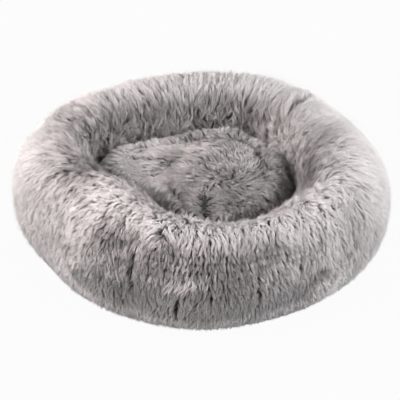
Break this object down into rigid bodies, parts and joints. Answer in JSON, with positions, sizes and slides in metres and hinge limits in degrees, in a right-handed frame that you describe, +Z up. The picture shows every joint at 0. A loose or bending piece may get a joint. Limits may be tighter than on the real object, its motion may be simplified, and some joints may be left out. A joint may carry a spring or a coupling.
{
  "type": "donut pet bed",
  "caption": "Round fur-covered pet bed: a fat stuffed ring round a loose crowned cushion, on a padded grip base with a curved zip underneath.",
  "frame": {"origin": "on the floor, under the middle of the bed", "axes": "+Z up; -Y towards the side the picture is taken from, +X to its right"},
  "size_m": [0.6101, 0.6122, 0.173],
  "materials": {
    "plush": "long soft pile, light warm grey",
    "lining": "plain woven polyester",
    "fibre": "loose polyester fibre",
    "grip_cloth": "coated woven cloth with small raised grip dots",
    "felt": "needled felt",
    "zip_tape": "woven herringbone tape",
    "zip_plastic": "moulded, satin",
    "zip_metal": "enamelled, satin"
  },
  "bodies": {
    "bed_ring": {"bolster_cover": "plush", "bolster_liner": "lining", "bolster_fill": "fibre", "base_panel": "grip_cloth", "base_pad": "felt", "zip_tape_outer": "zip_tape", "zip_tape_inner": "zip_tape", "zip_teeth_outer": "zip_plastic", "zip_teeth_inner": "zip_plastic", "zip_top_stop_outer": "zip_plastic", "zip_top_stop_inner": "zip_plastic", "zip_bottom_stop": "zip_plastic"},
    "cushion": {"cushion_top_cover": "plush", "cushion_underside": "lining", "cushion_fill": "fibre"},
    "zip_slider": {"zip_slider": "zip_metal"},
    "zip_pull": {"zip_pull": "zip_metal"}
  },
  "joints": [
    {"name": "cushion_lift", "type": "slide", "parent": "bed_ring", "child": "cushion", "axis": [0, 0, 1], "range_m": [0, 0.2]},
    {"name": "zip_run", "type": "hinge", "parent": "bed_ring", "child": "zip_slider", "pos_m": [0, 0, 0], "axis": [0, 0, 1], "range_deg": [0, 72]},
    {"name": "pull_swing", "type": "hinge", "parent": "zip_slider", "child": "zip_pull", "pos_m": [0.12546, 0.17151, 0.0029], "axis": [-0.5904, -0.8071, 0], "range_deg": [0, 175]}
  ]
}
